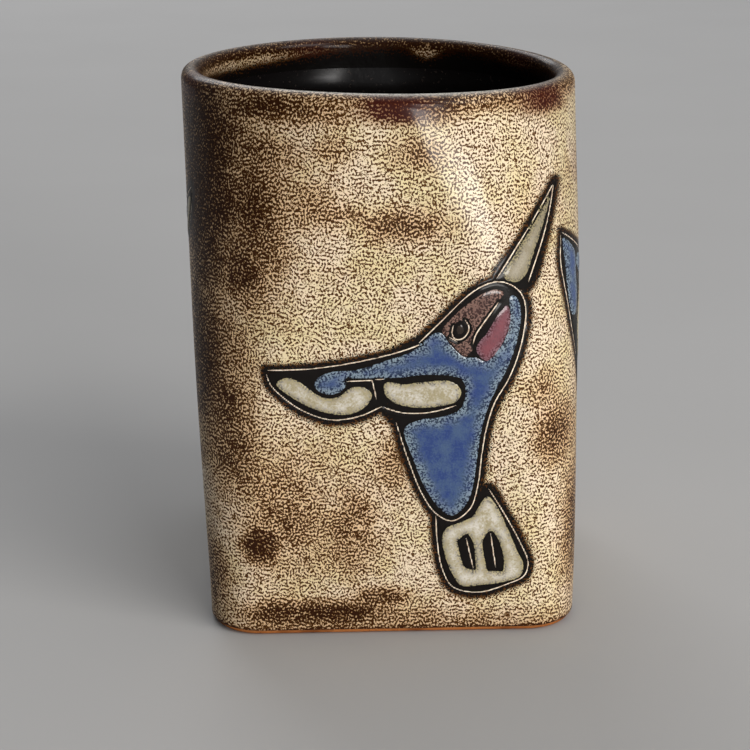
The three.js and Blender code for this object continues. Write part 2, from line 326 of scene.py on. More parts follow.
# Millimetres, [right, up], from the bird's shoulder. A point given twice is a corner.
HEAD_AND_BODY = [
    [5.6, 14.6], [10.2, 19.2], [14.5, 23.6], [18, 26.1], [21.3, 27], [24.2, 26.1], [26.4, 24],
    [27.3, 21], [26.9, 16.4], [25.6, 11.4], [23.7, 6.8], [20.8, 1.6], [19.1, -4.2], [18.2, -10],
    [17.4, -16.6], [15.8, -21.6], [12.1, -24.2], [8.8, -22.5], [6, -18.2], [3, -10], [0.8, -2.4],
    [-1.4, 1.2],
]
WING = [
    [5.6, 14.6], [0.4, 12.4], [-7.5, 10.6], [-15.2, 9.5], [-25, 9], [-25, 9], [-24.4, 6.4],
    [-22.5, 4], [-18.2, 0.6], [-12.3, -1.6], [-6.6, -0.9], [-2.1, 1.1], [-2.1, 1.1], [4, 4],
]
BEAK = [[21.2, 27.2], [26.6, 35.2], [34, 45], [34, 45], [32, 37.2], [27.8, 25.6], [25, 25.2]]
TAIL = [
    [19.6, -17], [23, -22.9], [26.4, -29.6], [28, -34], [27.2, -37], [23.8, -38.8], [17.5, -40.6],
    [12.2, -39.2], [10, -35], [9, -29], [8.6, -22.6], [8.6, -22.6], [12.1, -24.2], [16.6, -20.5],
]

# The wing of the bird on the right face is broader and reaches down past its body.
BROAD_WING = [
    [5.6, 14.6], [0.4, 12.4], [-7.5, 10.6], [-15.2, 9.5], [-25.4, 8.6], [-25.4, 8.6], [-22.8, 2],
    [-17.2, -4.8], [-10.9, -11.3], [-4.7, -16.2], [1.4, -21.7], [1.4, -21.7], [8, -20], [10, -4],
]

# The lines that are scratched through the black slip down to the clay.
WING_START = [[6.1, 14.4], [3.6, 13.4]]
WING_STROKES = [
    WING_START + WING[1:4] + [[-24.9, 9.1]],
    [[-25.1, 8.3], [-24.4, 6.2]] + WING[7:12],
    [[-2.1, 1.1], [1.8, -0.2], [6.2, -0.4], [10.2, 0.3], [13, 1.2]],
    [[-9, 6.6], [-6.4, 6.7], [-3.9, 6.8], [-3.9, 6.8], [-3.5, 4.8], [-3.1, 2.7]],
    [[-3.3, 6.9], [-1.5, 7]],
]
BROAD_WING_STROKES = [
    WING_START + BROAD_WING[1:4] + [[-25.2, 8.8]],
    [[-25.4, 8]] + BROAD_WING[6:11],
    [[-12.8, 4], [-10.2, -1.4], [-9, -7.5]],
]
STROKES = [
    HEAD_AND_BODY[:-1],
    [[21.6, 22.8], [18.1, 18], [16.9, 16], [16.4, 14.2]],
    [[14.8, 19.4], [15.6, 17.8], [15.2, 16.3], [14.1, 15.3], [12.9, 15.3], [12.2, 16.5], [12.5, 18.2]],
    [[11.7, 15.7], [13.3, 14.7]],
    [[21.2, 27.6], [26.6, 35.2], [33.9, 44.8]],
    [[33.9, 44.8], [32.2, 37.6], [27.9, 26.2]],
    [[27.2, 18.8], [27.7, 15], [26.5, 12]],
    [[25.9, 24.8], [27.8, 24.6]],
    [[19.7, -17.2]] + TAIL[1:10] + [[8.7, -23]],
    [[15, -28.1], [16.5, -35]],
    [[20.1, -27.2], [21.2, -35]],
]

# The glaze pools that lie between the lines.
BLUE_POOL = [
    [-15.6, 5.8], [-14.6, 7.6], [-12.4, 8.6], [-7, 9.1], [-1.3, 10.9], [4, 12.8], [8.6, 16.6],
    [10, 16.7], [12.1, 13.9], [14.8, 11.5], [17, 11.4], [19, 10.6], [21.9, 13.5], [23.7, 17.3],
    [24, 20.4], [24, 24], [25.4, 23.4], [26.2, 20.4], [25.8, 16.4], [24.4, 11.6], [22.4, 7],
    [20, 2.2], [18.2, -4], [17.3, -10], [16.4, -16.6], [14.9, -20.8], [12, -23], [9.6, -21.4],
    [7, -17.6], [4.2, -10.4], [2.5, -3.6], [5.4, -1.9], [10.4, -1.1], [13.8, 0.4], [14.9, 3.6],
    [14.2, 6.7], [8.2, 7.9], [1, 7.3], [-9, 7.3], [-9, 7.3], [-9.5, 5.2], [-11.8, 3.9], [-14.4, 4.4],
]
CREAM_WING_TIP = [
    [-23.2, 6.4], [-21, 7.6], [-18.6, 6.7], [-15.2, 4], [-12.6, 3], [-10.2, 3.7], [-8.4, 5.2],
    [-5.8, 5.4], [-4, 3.8], [-5.2, 1.3], [-8.6, -0.4], [-13.4, 0], [-18.8, 2.5],
]
CREAM_WING_ROOT = [
    [-1.2, 6.3], [2.5, 5.9], [7, 6.4], [12.2, 6.3], [14, 4.4], [13.2, 2.2], [9, 1], [4.4, 0.9],
    [0.4, 2], [-1.5, 4.2],
]
BLUE_BROAD_TIP = [
    [-24.5, 7.6], [-20.5, 7.7], [-17, 6.8], [-14.6, 2.8], [-11.6, -1.8], [-10.6, -6.4], [-13, -7.8],
    [-17.5, -3.3], [-21.3, 2.4],
]
CREAM_BROAD_ROOT = [
    [-2, 6], [-5, 3.6], [-8.4, 1.8], [-8.6, -5], [-6.4, -10.4], [-2, -14.4], [1.2, -14.4], [0.4, -9],
    [-0.4, -3], [1.8, 0.8], [8, 1.2], [13.2, 2.4], [13.6, 5], [7, 6.2],
]
CREAM_BEAK = [
    [33, 43], [29.2, 38.5], [25, 32.6], [22.6, 28.8], [23, 27.4], [25.4, 26.6], [27.1, 27.6],
    [29.2, 32.4], [31.4, 38],
]
CREAM_TAIL = [
    [10.9, -25.8], [13.8, -24.5], [16.4, -23.2], [18, -20.4], [19.4, -18.8], [21, -20.4], [23.2, -25],
    [25.6, -31], [27, -34.6], [26.4, -37], [23.4, -38.2], [17.9, -38.9], [14, -38.9], [12, -36],
    [10.6, -32], [10, -27.8],
]
TAIL_SLOTS = [
    [[13.4, -28.9], [13.4, -28.9], [15.1, -27.5], [16.1, -29], [16.8, -35.1], [16.8, -35.1], [15, -34.5]],
    [[18.8, -28.7], [20.1, -26.9], [21.2, -28.2], [22.6, -33], [22.5, -35.6], [22.5, -35.6], [19.6, -35.3],
     [19.6, -35.3]],
]
PLUM_CROWN = [
    [9.8, 17.2], [12.4, 20.6], [15, 22.9], [18.6, 25.3], [21.4, 25.8], [23.2, 24.6], [21.6, 22.6],
    [18.2, 18], [16.9, 15.8], [16.6, 12.8], [14.8, 11.2], [12.4, 13.4], [10.7, 15.4],
]
RED_CHEEK = [
    [23.4, 22.6], [24.4, 20.4], [24.1, 17.4], [22.3, 13.4], [19.3, 10.2], [16.9, 12.1], [16.8, 14],
    [18.9, 16.9], [21.2, 20.6],
]
DARK_EYE = [[13.9, 18.8], [15, 17.4], [14.4, 16.2], [13.2, 16.1], [12.8, 17.6]]

# Where each bird sits: its shoulder's place on the face, its lean in degrees, and its scale.
BIRDS = [
    {"face": "front", "side": 0, "right": 0, "up": 50, "lean": 0, "scale": 1,
     "mirrored": False, "broad": False},
    {"face": "right", "side": 1, "right": -16, "up": 66, "lean": -35, "scale": 0.85,
     "mirrored": False, "broad": True},
    {"face": "back", "side": 2, "right": 2, "up": 50, "lean": 0, "scale": 0.95,
     "mirrored": True, "broad": False},
    {"face": "left", "side": 3, "right": 9, "up": 77, "lean": 35, "scale": 0.7,
     "mirrored": True, "broad": False},
]


def place(bird, line):
    """A line of the bird's drawing, put on its face: [right of the face's middle, up]."""
    line = np.array(line, float) * bird["scale"]
    if bird["mirrored"]:
        line[:, 0] *= -1
    lean = math.radians(bird["lean"])
    right = line[:, 0] * math.cos(lean) - line[:, 1] * math.sin(lean)
    up = line[:, 0] * math.sin(lean) + line[:, 1] * math.cos(lean)
    return np.stack([right + bird["right"], up + bird["up"]], -1)


def on_wall(bird, spots, inset):
    """Spots of a bird's face, carried over to the wall."""
    return skin(share_on_face(bird["side"], spots[:, 0], spots[:, 1]), spots[:, 1], inset)


def silhouette_lines(bird):
    """The closed outer lines of the bird's parts. Together they bound its black slip."""
    wing = BROAD_WING if bird["broad"] else WING
    return [place(bird, smooth(shape)) for shape in (HEAD_AND_BODY, wing, BEAK, TAIL)]


def strokes_of(bird, step=0.5):
    """The bird's scratched lines, each an open curve on its face."""
    strokes = STROKES + (BROAD_WING_STROKES if bird["broad"] else WING_STROKES)
    return [place(bird, smooth(stroke, closed=False, step=step)) for stroke in strokes]


def depth_in_bird(bird, spots):
    """How deep each spot lies inside the bird's outer line."""
    return np.max([depth_in(spots, line) for line in silhouette_lines(bird)], axis=0)


# ------------ colour fields of the outer glaze

# Brown clouds on the front face: [right, up, half width, half height, strength]. Those down the left edge
# are partly painted shade, darkening the side turned away from the light.
FRONT_CLOUDS_AND_SHADE = [
    # the first two, down the left edge, are mostly painted shade
    [-41, 98, 14, 30, 1.1], [-42, 62, 11, 20, 0.95], [-33, 46, 7, 18, 0.65], [-41, 12, 7, 12, 0.7],
    [-26, 91, 8, 19, 0.7], [-15, 93, 10, 8, 0.4], [-12, 103, 7, 4, 0.35], [-12, 91, 9, 1.8, 0.55],
    [3, 88.5, 9, 4, 0.6], [6, 103, 8, 4, 0.35], [-16, 80, 14, 4, 0.2], [-27.5, 21, 4.5, 5, 1.0],
    [-22, 27, 11, 10, 0.5], [-8, 25, 7, 13, 0.5], [0, 38, 5, 9, 0.45], [-12, 5, 13, 3.6, 0.9],
    [-3, 8.5, 7, 3, 0.7], [-25, 5, 9, 4, 0.75], [6, 3.5, 12, 4, 0.45], [34, 44, 6, 8, 0.6],
    [-29, 80, 6, 10, 0.75], [31, 53, 5, 6, 0.35], [41, 22, 6, 20, 0.75], [14, 9, 8, 4, 0.25],
    [30, 90, 8, 8, 0.2], [42, 60, 4, 30, 0.5], [24, 24, 5, 4, 0.2], [-36, 28, 5, 6, 0.3],
    [-23, 28, 15, 19, 0.42], [0, 3, 42, 3.5, 0.42], [-32, 60, 7, 12, 0.4], [-22, 111, 16, 4, 0.75],
]
CLOUDS_PER_FACE = 18


def clouds_of_face(side):
    """Brown clouds for a face: chosen ones for the front, partly painted shade down its left edge, seeded
    random ones for the others.
    """
    if side == 0:
        return FRONT_CLOUDS_AND_SHADE
    least = [-38, 2, 5, 3, 0.3]
    most = [38, HEIGHT, 14, 11, 0.85]
    return np.random.default_rng(40 + side).uniform(least, most, (CLOUDS_PER_FACE, 5))


def face_spots(share, z, side):
    """For points on the wall: their [right, up] in a side's flat drawing, and how squarely the wall there
    looks that side's way (1 is straight, 0 is edge-on)."""
    point, out = outline(share, z)
    turn = side * math.pi / 2
    right = point[..., 0] * math.cos(turn) + point[..., 1] * math.sin(turn)
    facing = out[..., 0] * math.sin(turn) - out[..., 1] * math.cos(turn)
    return np.stack([right, z], -1), facing


CLOUD_FADE = 0.35  # a side's clouds fade out where the wall turns this far away from it


def cloud_and_shade_field(share, z):
    """The brown clouds, partly painted shade down the front's left edge: 0 is clean cream, 1 is deep brown.
    """
    brown = np.zeros_like(z)
    for side in range(4):
        spots, facing = face_spots(share, z, side)
        weight = np.clip(facing / CLOUD_FADE, 0, 1)
        for right, up, wide, high, strength in clouds_of_face(side):
            far = ((spots[..., 0] - right) / wide) ** 2 + ((spots[..., 1] - up) / high) ** 2
            brown = np.maximum(brown, weight * strength * np.exp(-far))
    return brown


# The lobes in which iron runs down from the lip: [height, lobes round the vase, start].
LIP_LOBES = [[0.25, 3, 0.9], [0.2, 7, 0.3], [0.15, 11, 0.0]]
LIP_IRON = 0.34  # the iron's strength where it reaches least; the lobes about double it
FOOT_IRON = 0.9  # and in the thin line along the foot


def lip_field(share, z):
    """The iron that darkens the glaze below the lip in uneven lobes, and a line of it along the foot."""
    lobes = 0.5
    for height, count, start in LIP_LOBES:
        lobes = lobes + height * np.sin(count * share * TAU + start)
    reach = 1.2 + 2.6 * np.clip(lobes, 0, 1.2)
    below = np.clip(HEIGHT - 1.5 - z, 0, None)
    top = np.exp(-(below / reach) ** 2) * (LIP_IRON + 0.35 * np.clip(lobes, 0, 1))
    foot = FOOT_IRON * np.exp(-((z - FOOT_LINE) / 0.8) ** 2)
    return np.maximum(top, foot)


# Where the iron below the lip turns red-brown: [share of the way round, half width, strength].
RED_PATCHES = [
    [0.008, 0.03, 1.1], [0.14, 0.035, 0.95], [0.33, 0.03, 0.7], [0.56, 0.03, 0.6], [0.8, 0.03, 0.8],
]

# Where the band inside the lip keeps some cream at its lower edge, written in the same way.
CREAM_PATCHES = [
    [0.65, 0.13, 1.0], [0.446, 0.02, 0.9], [0.33, 0.06, 0.6], [0.08, 0.08, 0.7], [0.9, 0.08, 0.8],
]

# Where the painted highlight along the lip is brightest.
LIP_HIGHLIGHT_PLACE = [0.03, 0.11, 1.0]


def patches_at(share, patches):
    """How strongly each point round the vase lies in one of the patches."""
    strongest = np.zeros_like(share)
    for middle, wide, strength in patches:
        far = (share - middle + 0.5) % 1 - 0.5
        strongest = np.maximum(strongest, strength * np.exp(-(far / wide) ** 2))
    return strongest


FOOT_RUST = 0.35  # how red the glaze turns at the foot


def rust_field(share, z):
    """0 to 1: where the dark glaze turns red-brown."""
    below_lip = np.exp(-(np.clip(HEIGHT - 3 - z, 0, None) / 2.4) ** 2)
    return np.maximum(patches_at(share, RED_PATCHES) * below_lip, FOOT_RUST * np.exp(-(z / 3) ** 2))


# ------------ node helpers for materials

def colour(code):
    """A colour written as RRGGBB, as the linear numbers that shaders use."""
    levels = [int(code[i:i + 2], 16) / 255 for i in (0, 2, 4)]
    return tuple(v / 12.92 if v <= 0.04045 else ((v + 0.055) / 1.055) ** 2.4 for v in levels) + (1.0,)


DRAWN_OUT = 0.72  # heights are squeezed by this, which draws the speckle out downwards
SPECULAR = 0.04  # nearly all gloss is in the coat


class Paint:
    """A material under construction. Every helper takes sockets or plain values."""

    def __init__(self, name):
        self.material = bpy.data.materials.new(name)
        self.material.use_nodes = True
        self.tree = self.material.node_tree
        self.tree.nodes.clear()
        self.shader = self.node("BsdfPrincipled")
        output = self.node("OutputMaterial")
        self.tree.links.new(self.shader.outputs[0], output.inputs["Surface"])
        place_in_metres = self.node("TexCoord").outputs["Object"]
        self.spot = self.vector("MULTIPLY", place_in_metres, (1 / MM, 1 / MM, 1 / MM))

    def node(self, kind, **settings):
        node = self.tree.nodes.new("ShaderNode" + kind)
        for name, value in settings.items():
            setattr(node, name, value)
        return node

    def put(self, socket, value):
        if isinstance(value, bpy.types.NodeSocket):
            self.tree.links.new(value, socket)
        else:
            socket.default_value = value

    def fill(self, node, values):
        """Puts each value into the input of that name or number."""
        for name, value in values.items():
            self.put(node.inputs[name], value)
        return node

    def maths(self, operation, a, b=0.0, c=0.0, clamp=False):
        node = self.node("Math", operation=operation, use_clamp=clamp)
        return self.fill(node, {0: a, 1: b, 2: c}).outputs[0]

    def times_plus(self, value, times, plus=0.0):
        return self.maths("MULTIPLY_ADD", value, times, plus)

    def vector(self, operation, a, b):
        return self.fill(self.node("VectorMath", operation=operation), {0: a, 1: b}).outputs[0]

    def noise(self, per_mm, detail=2.0, roughness=0.5, distortion=0.0, shift=(0, 0, 0)):
        node = self.fill(self.node("TexNoise"), {
            "Vector": self.vector("ADD", self.spot, shift), "Scale": per_mm, "Detail": detail,
            "Roughness": roughness, "Distortion": distortion,
        })
        return node.outputs[0]

    def labyrinth(self, per_mm, waves):
        """Even worm-like ripples around 0.5, so many waves to each cell, drawn out a little downwards."""
        node = self.fill(self.node("TexGabor", gabor_type="3D"), {
            "Vector": self.vector("MULTIPLY", self.spot, (1, 1, DRAWN_OUT)), "Scale": per_mm,
            "Frequency": waves, "Anisotropy": 0.0,
        })
        return node.outputs["Value"]

    def mark(self, name):
        """The numbers of that name that the mesh carries."""
        return self.node("Attribute", attribute_name=name).outputs["Fac"]

    def between(self, value, low, high, to_low=0.0, to_high=1.0):
        """value going smoothly from to_low, at low, to to_high, at high."""
        node = self.fill(self.node("MapRange", interpolation_type="SMOOTHSTEP"), {
            "Value": value, "From Min": low, "From Max": high, "To Min": to_low, "To Max": to_high,
        })
        return node.outputs[0]

    def mix(self, share, a, b):
        """Colour a turning into colour b, which are this node's inputs 6 and 7."""
        node = self.node("Mix", data_type="RGBA")
        return self.fill(node, {0: share, 6: a, 7: b}).outputs[2]

    def bump(self, height, depth_mm):
        node = self.fill(self.node("Bump"), {"Height": height, "Distance": depth_mm * MM, "Strength": 1.0})
        self.put(self.shader.inputs["Normal"], node.outputs[0])

    def finish(self, base, roughness, coat=0.0, coat_roughness=0.1):
        self.fill(self.shader, {
            "Base Color": base, "Roughness": roughness, "Specular IOR Level": SPECULAR,
            "Coat Weight": coat, "Coat Roughness": coat_roughness,
        })
        return self.material


# ------------ materials

CREAM = colour("DCCBB1")
OLIVE_CREAM = colour("D5C79E")
TAN = colour("CBAE89")
OLD_TAN = colour("9C7F5E")
BROWN = colour("714F27")
PALE_INK = colour("48290C")
DARK_INK = colour("281103")
RED_INK = colour("33110A")
RED_BROWN = colour("5E2E17")
SLIP_BLACK = colour("0F0C0A")
INK_BLACK = colour("0B0908")
# the colour of the painted highlight along the lip
LIP_HIGHLIGHT_WHITE = colour("DEDAD2")


def speckle_grain(paint):
    """The worm-like grain of the outer glaze, a little under half a millimetre wide, around 0.5."""
    worms = paint.times_plus(paint.labyrinth(0.88, 2.0), 0.8, -0.125)
    fine = paint.noise(4.4, detail=0.0, shift=(31, 7, 12))
    return paint.times_plus(fine, 0.45, worms)


def pool_grain(paint):
    """The softer grain of the glaze pools, around 0.5."""
    coarse = paint.noise(2.5, detail=0.0, distortion=0.3)
    fine = paint.noise(4.2, detail=0.0, shift=(31, 7, 12))
    return paint.times_plus(coarse, 0.68, paint.times_plus(fine, 0.32))


GRAIN_LEVEL = 0.462  # the grain is brown below this in clean cream,
CLOUD_LEVEL = 0.64  # and below this in the deepest cloud
GRAIN_SOFTNESS = 0.085  # how gradually it turns
SLIP_BORDER = 1.2  # the slip shows this far outside a bird's outer line


def cream_with_clouds(paint, grain):
    """The cream glaze. Its brown grain grows denser and darker in the clouds, and red-brown in the rust.
    Down the front's left edge the clouds are partly painted shade.
    """
    drift = paint.noise(0.11, detail=3.0, shift=(5, 90, 3))
    patches = paint.noise(0.4, detail=2.0, shift=(55, 9, 31))
    stain_and_shade = paint.times_plus(paint.maths("SUBTRACT", drift, 0.5), 0.4, paint.mark("stain_and_shade"))
    stain_and_shade = paint.times_plus(paint.maths("SUBTRACT", patches, 0.5), 0.3, stain_and_shade)
    heavy = paint.maths("MAXIMUM", stain_and_shade, 0.0, clamp=True)
    level = paint.between(heavy, 0.0, 1.0, GRAIN_LEVEL, CLOUD_LEVEL)
    tone = paint.between(paint.maths("SUBTRACT", grain, level), -GRAIN_SOFTNESS, GRAIN_SOFTNESS)
    rust = paint.mark("rust")
    cream = paint.mix(paint.between(drift, 0.35, 0.65), CREAM, OLIVE_CREAM)
    ground = paint.mix(paint.between(heavy, 0.0, 0.5), cream, TAN)
    ground = paint.mix(paint.between(heavy, 0.45, 0.95), ground, OLD_TAN)
    ground = paint.mix(paint.maths("MULTIPLY", rust, 0.75, clamp=True), ground, RED_BROWN)
    ink = paint.mix(paint.between(heavy, 0.05, 0.8), PALE_INK, DARK_INK)
    ink = paint.mix(paint.between(rust, 0.1, 0.9), ink, RED_INK)
    middle = paint.mix(paint.between(rust, 0.1, 0.9), BROWN, RED_BROWN)
    tint = paint.mix(paint.between(tone, 0.0, 0.55), ink, middle)
    return paint.mix(paint.between(tone, 0.35, 1.0), tint, ground)


def with_black(paint, grain, tint):
    """A colour that turns black near an engraved bird and near the liner, both with a grainy edge."""
    wander = paint.maths("SUBTRACT", grain, 0.5)
    edge = paint.times_plus(wander, 5.0, paint.mark("edge"))
    tint = paint.mix(paint.between(edge, -SLIP_BORDER - 0.15, -SLIP_BORDER + 0.15), tint, SLIP_BLACK)
    inner = paint.times_plus(wander, 7.0, paint.mark("inner"))
    return paint.mix(paint.between(inner, -0.4, 0.4), tint, INK_BLACK)


def glaze_with_speckle(name):
    """The outer glaze: speckled cream, black slip round the birds, and a painted highlight, a pale line
    along the lip.
    """
    paint = Paint(name)
    grain = speckle_grain(paint)
    tint = with_black(paint, grain, cream_with_clouds(paint, grain))
    # painted highlight: a pale line along the top of the lip
    lip_highlight = paint.maths("MULTIPLY", paint.mark("lip"), paint.between(grain, 0.36, 0.54, 0.4, 1.0))
    tint = paint.mix(lip_highlight, tint, LIP_HIGHLIGHT_WHITE)
    soft = paint.noise(0.5, detail=2.0)
    paint.bump(paint.times_plus(grain, 0.3, soft), 0.16)
    return paint.finish(tint, paint.between(soft, 0.3, 0.7, 0.4, 0.5), coat=0.2, coat_roughness=0.14)


GRAINY_SHARE = 0.8  # how much of a pool's edge the grains cover


def pool_glaze(name, codes, band):
    """A pool of coloured glaze. Towards its edge, over a band this wide, it breaks up into grains. Its
    colour codes: middle, deep, light grain, dark grain."""
    middle, deep, light_grain, dark_grain = [colour(code) for code in codes]
    paint = Paint(name)
    grain = pool_grain(paint)
    wander = paint.maths("SUBTRACT", grain, 0.5)
    mottle = paint.times_plus(wander, 0.5, paint.noise(0.3, detail=3.0, shift=(12, 40, 8)))
    tint = paint.mix(paint.between(mottle, 0.3, 0.7), middle, deep)
    grains = paint.mix(paint.between(wander, -0.07, 0.07), dark_grain, light_grain)
    reach = paint.times_plus(paint.maths("SUBTRACT", mottle, 0.5), 3.0, paint.mark("edge"))
    tint = paint.mix(paint.between(reach, 0.0, band, GRAINY_SHARE, 0.0), tint, grains)
    edge = paint.times_plus(wander, 4.5, paint.mark("edge"))
    tint = paint.mix(paint.between(edge, -0.5, -0.1, 1.0, 0.0), tint, SLIP_BLACK)
    paint.bump(paint.times_plus(grain, 0.5, paint.noise(0.6)), 0.14)
    return paint.finish(tint, 0.4, coat=0.35, coat_roughness=0.1)


def black_liner():
    """The glossy black glaze inside, with soft waves and a few brown specks."""
    paint = Paint("black_liner_glaze")
    waves = paint.noise(0.12, detail=2.0)
    specks = paint.between(paint.noise(1.1, detail=1.0), 0.66, 0.72)
    tint = paint.mix(specks, colour("100E0E"), colour("2A2320"))
    ripples = paint.times_plus(paint.noise(1.8, detail=2.0), 0.12, waves)
    paint.bump(paint.times_plus(paint.noise(0.7), 0.25, ripples), 0.5)
    return paint.finish(tint, paint.between(waves, 0.3, 0.7, 0.22, 0.34), coat=0.8, coat_roughness=0.22)


def bare_clay():
    """The orange-brown stoneware where no glaze covers it, with dark grit."""
    paint = Paint("bare_stoneware")
    grit = paint.noise(1.6, detail=4.0, roughness=0.7)
    warm = paint.noise(0.2, detail=2.0)
    tint = paint.mix(paint.between(warm, 0.3, 0.7), colour("A5683A"), colour("774524"))
    tint = paint.mix(paint.between(grit, 0.6, 0.75), tint, colour("4C2A17"))
    paint.bump(grit, 0.18)
    return paint.finish(tint, paint.between(grit, 0.3, 0.7, 0.7, 0.9))


def scratched_clay():
    """The pale clay in the scratched lines."""
    paint = Paint("scratched_line")
    grit = paint.noise(1.4, detail=2.0)
    tint = paint.mix(paint.between(grit, 0.35, 0.65), colour("EBDCC8"), colour("B59F8A"))
    paint.bump(grit, 0.05)
    return paint.finish(tint, 0.45)


glaze_material = glaze_with_speckle("speckled_glaze")
slip_material = glaze_with_speckle("black_slip")
rim_material = glaze_with_speckle("iron_rim_glaze")
liner_material = black_liner()
clay_material = bare_clay()
line_material = scratched_clay()
blue_material = pool_glaze("blue_glaze", ("445775", "2D3F70", "86959C", "12131A"), 3.4)
cream_material = pool_glaze("cream_glaze", ("C7C2B9", "988E70", "978A58", "3E341C"), 1.7)
beak_material = pool_glaze("thin_cream_glaze", ("A39C8D", "877E6A", "8C8058", "2E2717"), 2.2)
plum_material = pool_glaze("plum_glaze", ("5E423E", "3C2826", "85695E", "120C0B"), 5.0)
red_material = pool_glaze("red_glaze", ("7D474E", "6C434A", "7F6A72", "2E1A20"), 2.0)
eye_material = pool_glaze("olive_glaze", ("352C26", "241E1A", "4A3F35", "100C0A"), 1.0)


# ------------ the outer skin and the rim

LIP_STEPS = 14  # faces over the rounded lip
FOOT_EDGE = [(0.0, 0.42), (0.08, 0.2), (0.25, 0.05)]  # (above the foot line, inset) of its rounded edge
FOOT_TOP = 0.6  # and where the wall is straight again


def skin_profile():
    """(z, inset) from the foot line up the outside, over the lip and down to the liner."""
    lip = HEIGHT - LIP_RADIUS
    foot = [(FOOT_LINE + up, inset) for up, inset in FOOT_EDGE]
    rising = [(z, 0.0) for z in steps(FOOT_LINE + FOOT_TOP, lip, GRID)]
    over = []
    for angle in np.linspace(0, math.pi, LIP_STEPS + 1)[1:]:
        over.append((lip + LIP_RADIUS * math.sin(angle), LIP_RADIUS - LIP_RADIUS * math.cos(angle)))
    falling = [(z, float(inner_inset(z))) for z in steps(lip, HEIGHT - RIM_INSIDE, GRID)[1:]]
    return foot + rising + over + falling


RECESS = 0.45  # how deep the wall is set back under a bird's slip,
RECESS_SLOPE = 0.6  # over this width
NOWHERE_NEAR = -6.0  # stands for the depth in a bird of every point that is far from all of them
EDGE_ON = 0.15  # a wall that looks a side's way less than this holds none of its bird
BLACK_BELOW = 2.4  # inside, black starts this far below the lip,
CREAM_DEEPER = 2.2  # and up to this much lower in the cream patches
INSIDE_STAIN = 1.1  # the dark iron band above it, which the cream patches thin out
INSIDE_CREAM = 0.85
LIP_HIGHLIGHT_LEAST = 0.2  # how strong the painted lip highlight is away from its brightest place
LIP_HIGHLIGHT_NARROW = 9  # the higher, the narrower the painted highlight line


def depth_in_birds(share, z, outer):
    """How deep each point of the outer skin lies inside the birds' outer lines; negative outside them."""
    depth = np.full(z.shape, NOWHERE_NEAR)
    for bird in BIRDS:
        spots, facing = face_spots(share, z, bird["side"])
        lines = np.concatenate(silhouette_lines(bird))
        low, high = lines.min(0) + NOWHERE_NEAR, lines.max(0) - NOWHERE_NEAR
        near = outer & (facing > EDGE_ON) & (spots > low).all(-1) & (spots < high).all(-1)
        depth[near] = np.maximum(depth[near], depth_in_bird(bird, spots[near]))
    return depth


def skin_marks(share, z, inset, edge):
    """The numbers that the outer glaze's material reads at each point of the skin."""
    rust = rust_field(share, z)
    outside = np.maximum(np.maximum(cloud_and_shade_field(share, z), lip_field(share, z)), 0.8 * rust)
    cream = patches_at(share, CREAM_PATCHES)
    below_top = np.clip((HEIGHT - z - 1.2) / 1.6, 0, 1)
    lip_height = np.clip((z - HEIGHT + LIP_RADIUS) / LIP_RADIUS, 0, 1)
    # the painted highlight along the top of the lip
    lip_highlight = LIP_HIGHLIGHT_LEAST + (1 - LIP_HIGHLIGHT_LEAST) * patches_at(share, [LIP_HIGHLIGHT_PLACE])
    black_from = HEIGHT - BLACK_BELOW - CREAM_DEEPER * cream
    band = INSIDE_STAIN - INSIDE_CREAM * cream * below_top
    return {
        # iron, clouds, and painted shade down the front's left edge
        "stain_and_shade": np.where(inset > LIP_RADIUS, band, outside),
        "rust": rust,
        "edge": edge,
        "inner": np.where(inset > WALL * 0.6, black_from - z, NOWHERE_NEAR),
        "lip": lip_highlight * lip_height ** LIP_HIGHLIGHT_NARROW,
    }


def grid_normals(points):
    """Directions straight out of a grid of points that is closed along its rows."""
    along = np.roll(points, -1, axis=1) - np.roll(points, 1, axis=1)
    normals = np.cross(along, np.gradient(points, axis=0))
    return normals / np.linalg.norm(normals, axis=-1, keepdims=True)


def add_skin():
    """The outer glaze and the rim glaze: one surface, cut in two at the rim band, each a closed skin."""
    profile = skin_profile()
    share = np.tile(np.arange(COLUMNS) / COLUMNS, (len(profile), 1))
    z = np.repeat([[row[0]] for row in profile], COLUMNS, axis=1)
    inset = np.repeat([[row[1]] for row in profile], COLUMNS, axis=1)
    edge = depth_in_birds(share, z, inset < LIP_RADIUS)
    points = skin(share, z, inset + RECESS * np.clip((edge + 0.1) / RECESS_SLOPE, 0, 1))
    normals = grid_normals(points)
    back = points - normals * SKIN_THICK
    marks = skin_marks(share, z, inset, edge)
    cut = next(i for i, row in enumerate(profile) if row[0] > HEIGHT - RIM_BAND)
    parts = (
        ("speckle_glaze", slice(0, cut + 1), glaze_material, "speckled_glaze"),
        ("rim_glaze", slice(cut, len(profile)), rim_material, "iron_glaze"),
    )
    for name, rows, material, slot in parts:
        both = np.concatenate([points[rows], back[rows][::-1]])
        out = np.concatenate([normals[rows], -normals[rows][::-1]])
        values = {}
        for mark, field in marks.items():
            values[mark] = np.concatenate([field[rows], field[rows][::-1]]).ravel()
        add_mesh(name, both.reshape(-1, 3), ring_faces(len(both), True), material, [name],
                 marks=values, normals=out.reshape(-1, 3))


# ------------ clay and liner

def add_clay():
    """The clay wall, a tube with a rounded top, and the clay floor slab under it."""
    low = FLOOR + GAP
    top = HEIGHT - LIP_RADIUS
    outer = GLAZE + GAP
    inner = WALL - GLAZE - GAP
    radius = (inner - outer) / 2
    wall = [(z, outer) for z in steps(low, top, CLAY_GRID)[:-1]]
    for angle in np.linspace(0, math.pi, 9):
        wall.append((top + radius * math.sin(angle), LIP_RADIUS - radius * math.cos(angle)))
    wall += [(z, inner) for z in steps(top, low, CLAY_GRID)[1:]]
    add_sweep("clay_wall", wall, clay_material)
    slab = FOOT_ROUND + [
        (FOOT_LINE, BARE_EDGE), (FOOT_LINE + 0.5, outer), (FLOOR, outer), (FLOOR, outer + 2.3),
    ]
    add_sweep("clay_floor", slab, clay_material, looped=False)


